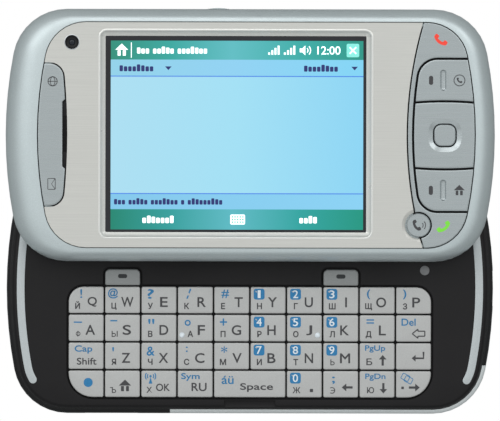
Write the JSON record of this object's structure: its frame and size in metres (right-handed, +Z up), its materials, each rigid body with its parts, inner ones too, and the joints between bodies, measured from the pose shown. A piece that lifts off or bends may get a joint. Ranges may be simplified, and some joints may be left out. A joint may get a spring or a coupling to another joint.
{
  "type": "slider phone",
  "caption": "Pocket phone whose touch-screen half slides sideways off a keyboard half, with keys beside the screen, a thumb wheel, a stylus and a slide-off battery cover.",
  "frame": {"origin": "middle of the keyboard half's flat back, on the surface the phone lies on", "axes": "+X along the phone's length towards the keys beside the screen, +Y the way the screen half slides open, +Z up through the thickness; stored slid open"},
  "size_m": [0.1124, 0.0934, 0.022],
  "materials": {
    "case_black": "fine matte, slightly rubbery",
    "deck_black": "matte moulded",
    "silver_trim": "satin silver paint",
    "frame_silver": "satin silver paint",
    "plate_metal": "fine brushed, warm grey",
    "screen": "glossy touch glass over the picture",
    "front_keys": "satin blue-grey paint",
    "keycaps": "satin silver-grey",
    "board": "lacquered circuit board with metal cans",
    "battery_pack": "wrapped cell",
    "chassis": "dull stamped metal",
    "wheel": "satin silver, knurled",
    "stylus_plastic": "matte"
  },
  "bodies": {
    "base": {"base_housing": "case_black", "side_band": "silver_trim", "keyboard_deck": "deck_black", "mainboard": "board", "battery": "battery_pack"},
    "display": {"slide_carriage": "chassis", "front_frame": "frame_silver", "face_plate": "plate_metal", "display_module": "screen"},
    "battery_cover": {"battery_cover": "case_black"},
    "stylus": {"stylus": "stylus_plastic"},
    "jog_wheel": {"jog_wheel": "wheel"},
    "shortcut_rocker": {"shortcut_rocker": "front_keys"},
    "call_end_bar": {"call_end_bar": "front_keys"},
    "ok_key": {"ok_key": "front_keys"},
    "nav_pad": {"nav_pad": "front_keys"},
    "nav_center": {"nav_center": "front_keys"},
    "start_key": {"start_key": "front_keys"},
    "video_call_key": {"video_call_key": "front_keys"},
    "soft_key_left": {"soft_key_left": "keycaps"},
    "soft_key_right": {"soft_key_right": "keycaps"},
    "key_q": {"key_q": "keycaps"},
    "key_w": {"key_w": "keycaps"},
    "key_e": {"key_e": "keycaps"},
    "key_r": {"key_r": "keycaps"},
    "key_t": {"key_t": "keycaps"},
    "key_y": {"key_y": "keycaps"},
    "key_u": {"key_u": "keycaps"},
    "key_i": {"key_i": "keycaps"},
    "key_o": {"key_o": "keycaps"},
    "key_p": {"key_p": "keycaps"},
    "key_a": {"key_a": "keycaps"},
    "key_s": {"key_s": "keycaps"},
    "key_d": {"key_d": "keycaps"},
    "key_f": {"key_f": "keycaps"},
    "key_g": {"key_g": "keycaps"},
    "key_h": {"key_h": "keycaps"},
    "key_j": {"key_j": "keycaps"},
    "key_k": {"key_k": "keycaps"},
    "key_l": {"key_l": "keycaps"},
    "key_backspace": {"key_backspace": "keycaps"},
    "key_shift": {"key_shift": "keycaps"},
    "key_z": {"key_z": "keycaps"},
    "key_x": {"key_x": "keycaps"},
    "key_c": {"key_c": "keycaps"},
    "key_v": {"key_v": "keycaps"},
    "key_b": {"key_b": "keycaps"},
    "key_n": {"key_n": "keycaps"},
    "key_m": {"key_m": "keycaps"},
    "key_up": {"key_up": "keycaps"},
    "key_enter": {"key_enter": "keycaps"},
    "key_fn": {"key_fn": "keycaps"},
    "key_menu": {"key_menu": "keycaps"},
    "key_ok": {"key_ok": "keycaps"},
    "key_sym": {"key_sym": "keycaps"},
    "key_space": {"key_space": "keycaps"},
    "key_dot": {"key_dot": "keycaps"},
    "key_left": {"key_left": "keycaps"},
    "key_down": {"key_down": "keycaps"},
    "key_right": {"key_right": "keycaps"}
  },
  "joints": [
    {"name": "battery_cover_slide", "type": "slide", "parent": "base", "child": "battery_cover", "axis": [1, 0, 0], "range_m": [0, 0.008]},
    {"name": "call_end_bar_rock", "type": "hinge", "parent": "display", "child": "call_end_bar", "pos_m": [0.0382, 0.0352, 0.02125], "axis": [1, 0, 0], "range_deg": [-0.6, 0.6], "stiffness_Nm_per_rad": 3},
    {"name": "display_slide", "type": "slide", "parent": "base", "child": "display", "axis": [0, 1, 0], "range_m": [-0.0352, 0]},
    {"name": "jog_wheel_spin", "type": "hinge", "parent": "base", "child": "jog_wheel", "pos_m": [-0.032, -0.0242, 0.0059], "axis": [0, 0, 1], "continuous": true},
    {"name": "nav_pad_rock", "type": "hinge", "parent": "display", "child": "nav_pad", "pos_m": [0.0446, 0.0352, 0.02125], "axis": [1, 0, 0], "range_deg": [-1.8, 1.8], "stiffness_Nm_per_rad": 1},
    {"name": "nav_center_press", "type": "slide", "parent": "display", "child": "nav_center", "axis": [0, 0, 1], "range_m": [-0.0003, 0], "stiffness_N_per_m": 1500},
    {"name": "ok_key_press", "type": "slide", "parent": "display", "child": "ok_key", "axis": [0, 0, 1], "range_m": [-0.0003, 0], "stiffness_N_per_m": 1500},
    {"name": "shortcut_rocker_rock", "type": "hinge", "parent": "display", "child": "shortcut_rocker", "pos_m": [-0.0455, 0.0352, 0.02125], "axis": [1, 0, 0], "range_deg": [-1, 1], "stiffness_Nm_per_rad": 1.5},
    {"name": "start_key_press", "type": "slide", "parent": "display", "child": "start_key", "axis": [0, 0, 1], "range_m": [-0.0003, 0], "stiffness_N_per_m": 1500},
    {"name": "stylus_slide", "type": "slide", "parent": "base", "child": "stylus", "axis": [1, 0, 0], "range_m": [0, 0.09]},
    {"name": "video_call_key_press", "type": "slide", "parent": "display", "child": "video_call_key", "axis": [0, 0, 1], "range_m": [-0.0003, 0], "stiffness_N_per_m": 1500},
    {"name": "soft_key_left_press", "type": "slide", "parent": "base", "child": "soft_key_left", "axis": [0, 0, 1], "range_m": [-0.0003, 0], "stiffness_N_per_m": 1500},
    {"name": "soft_key_right_press", "type": "slide", "parent": "base", "child": "soft_key_right", "axis": [0, 0, 1], "range_m": [-0.0003, 0], "stiffness_N_per_m": 1500},
    {"name": "key_q_press", "type": "slide", "parent": "base", "child": "key_q", "axis": [0, 0, 1], "range_m": [-0.0003, 0], "stiffness_N_per_m": 1500},
    {"name": "key_w_press", "type": "slide", "parent": "base", "child": "key_w", "axis": [0, 0, 1], "range_m": [-0.0003, 0], "stiffness_N_per_m": 1500},
    {"name": "key_e_press", "type": "slide", "parent": "base", "child": "key_e", "axis": [0, 0, 1], "range_m": [-0.0003, 0], "stiffness_N_per_m": 1500},
    {"name": "key_r_press", "type": "slide", "parent": "base", "child": "key_r", "axis": [0, 0, 1], "range_m": [-0.0003, 0], "stiffness_N_per_m": 1500},
    {"name": "key_t_press", "type": "slide", "parent": "base", "child": "key_t", "axis": [0, 0, 1], "range_m": [-0.0003, 0], "stiffness_N_per_m": 1500},
    {"name": "key_y_press", "type": "slide", "parent": "base", "child": "key_y", "axis": [0, 0, 1], "range_m": [-0.0003, 0], "stiffness_N_per_m": 1500},
    {"name": "key_u_press", "type": "slide", "parent": "base", "child": "key_u", "axis": [0, 0, 1], "range_m": [-0.0003, 0], "stiffness_N_per_m": 1500},
    {"name": "key_i_press", "type": "slide", "parent": "base", "child": "key_i", "axis": [0, 0, 1], "range_m": [-0.0003, 0], "stiffness_N_per_m": 1500},
    {"name": "key_o_press", "type": "slide", "parent": "base", "child": "key_o", "axis": [0, 0, 1], "range_m": [-0.0003, 0], "stiffness_N_per_m": 1500},
    {"name": "key_p_press", "type": "slide", "parent": "base", "child": "key_p", "axis": [0, 0, 1], "range_m": [-0.0003, 0], "stiffness_N_per_m": 1500},
    {"name": "key_a_press", "type": "slide", "parent": "base", "child": "key_a", "axis": [0, 0, 1], "range_m": [-0.0003, 0], "stiffness_N_per_m": 1500},
    {"name": "key_s_press", "type": "slide", "parent": "base", "child": "key_s", "axis": [0, 0, 1], "range_m": [-0.0003, 0], "stiffness_N_per_m": 1500},
    {"name": "key_d_press", "type": "slide", "parent": "base", "child": "key_d", "axis": [0, 0, 1], "range_m": [-0.0003, 0], "stiffness_N_per_m": 1500},
    {"name": "key_f_press", "type": "slide", "parent": "base", "child": "key_f", "axis": [0, 0, 1], "range_m": [-0.0003, 0], "stiffness_N_per_m": 1500},
    {"name": "key_g_press", "type": "slide", "parent": "base", "child": "key_g", "axis": [0, 0, 1], "range_m": [-0.0003, 0], "stiffness_N_per_m": 1500},
    {"name": "key_h_press", "type": "slide", "parent": "base", "child": "key_h", "axis": [0, 0, 1], "range_m": [-0.0003, 0], "stiffness_N_per_m": 1500},
    {"name": "key_j_press", "type": "slide", "parent": "base", "child": "key_j", "axis": [0, 0, 1], "range_m": [-0.0003, 0], "stiffness_N_per_m": 1500},
    {"name": "key_k_press", "type": "slide", "parent": "base", "child": "key_k", "axis": [0, 0, 1], "range_m": [-0.0003, 0], "stiffness_N_per_m": 1500},
    {"name": "key_l_press", "type": "slide", "parent": "base", "child": "key_l", "axis": [0, 0, 1], "range_m": [-0.0003, 0], "stiffness_N_per_m": 1500},
    {"name": "key_backspace_press", "type": "slide", "parent": "base", "child": "key_backspace", "axis": [0, 0, 1], "range_m": [-0.0003, 0], "stiffness_N_per_m": 1500},
    {"name": "key_shift_press", "type": "slide", "parent": "base", "child": "key_shift", "axis": [0, 0, 1], "range_m": [-0.0003, 0], "stiffness_N_per_m": 1500},
    {"name": "key_z_press", "type": "slide", "parent": "base", "child": "key_z", "axis": [0, 0, 1], "range_m": [-0.0003, 0], "stiffness_N_per_m": 1500},
    {"name": "key_x_press", "type": "slide", "parent": "base", "child": "key_x", "axis": [0, 0, 1], "range_m": [-0.0003, 0], "stiffness_N_per_m": 1500},
    {"name": "key_c_press", "type": "slide", "parent": "base", "child": "key_c", "axis": [0, 0, 1], "range_m": [-0.0003, 0], "stiffness_N_per_m": 1500},
    {"name": "key_v_press", "type": "slide", "parent": "base", "child": "key_v", "axis": [0, 0, 1], "range_m": [-0.0003, 0], "stiffness_N_per_m": 1500},
    {"name": "key_b_press", "type": "slide", "parent": "base", "child": "key_b", "axis": [0, 0, 1], "range_m": [-0.0003, 0], "stiffness_N_per_m": 1500},
    {"name": "key_n_press", "type": "slide", "parent": "base", "child": "key_n", "axis": [0, 0, 1], "range_m": [-0.0003, 0], "stiffness_N_per_m": 1500},
    {"name": "key_m_press", "type": "slide", "parent": "base", "child": "key_m", "axis": [0, 0, 1], "range_m": [-0.0003, 0], "stiffness_N_per_m": 1500},
    {"name": "key_up_press", "type": "slide", "parent": "base", "child": "key_up", "axis": [0, 0, 1], "range_m": [-0.0003, 0], "stiffness_N_per_m": 1500},
    {"name": "key_enter_press", "type": "slide", "parent": "base", "child": "key_enter", "axis": [0, 0, 1], "range_m": [-0.0003, 0], "stiffness_N_per_m": 1500},
    {"name": "key_fn_press", "type": "slide", "parent": "base", "child": "key_fn", "axis": [0, 0, 1], "range_m": [-0.0003, 0], "stiffness_N_per_m": 1500},
    {"name": "key_menu_press", "type": "slide", "parent": "base", "child": "key_menu", "axis": [0, 0, 1], "range_m": [-0.0003, 0], "stiffness_N_per_m": 1500},
    {"name": "key_ok_press", "type": "slide", "parent": "base", "child": "key_ok", "axis": [0, 0, 1], "range_m": [-0.0003, 0], "stiffness_N_per_m": 1500},
    {"name": "key_sym_press", "type": "slide", "parent": "base", "child": "key_sym", "axis": [0, 0, 1], "range_m": [-0.0003, 0], "stiffness_N_per_m": 1500},
    {"name": "key_space_press", "type": "slide", "parent": "base", "child": "key_space", "axis": [0, 0, 1], "range_m": [-0.0003, 0], "stiffness_N_per_m": 1500},
    {"name": "key_dot_press", "type": "slide", "parent": "base", "child": "key_dot", "axis": [0, 0, 1], "range_m": [-0.0003, 0], "stiffness_N_per_m": 1500},
    {"name": "key_left_press", "type": "slide", "parent": "base", "child": "key_left", "axis": [0, 0, 1], "range_m": [-0.0003, 0], "stiffness_N_per_m": 1500},
    {"name": "key_down_press", "type": "slide", "parent": "base", "child": "key_down", "axis": [0, 0, 1], "range_m": [-0.0003, 0], "stiffness_N_per_m": 1500},
    {"name": "key_right_press", "type": "slide", "parent": "base", "child": "key_right", "axis": [0, 0, 1], "range_m": [-0.0003, 0], "stiffness_N_per_m": 1500}
  ]
}
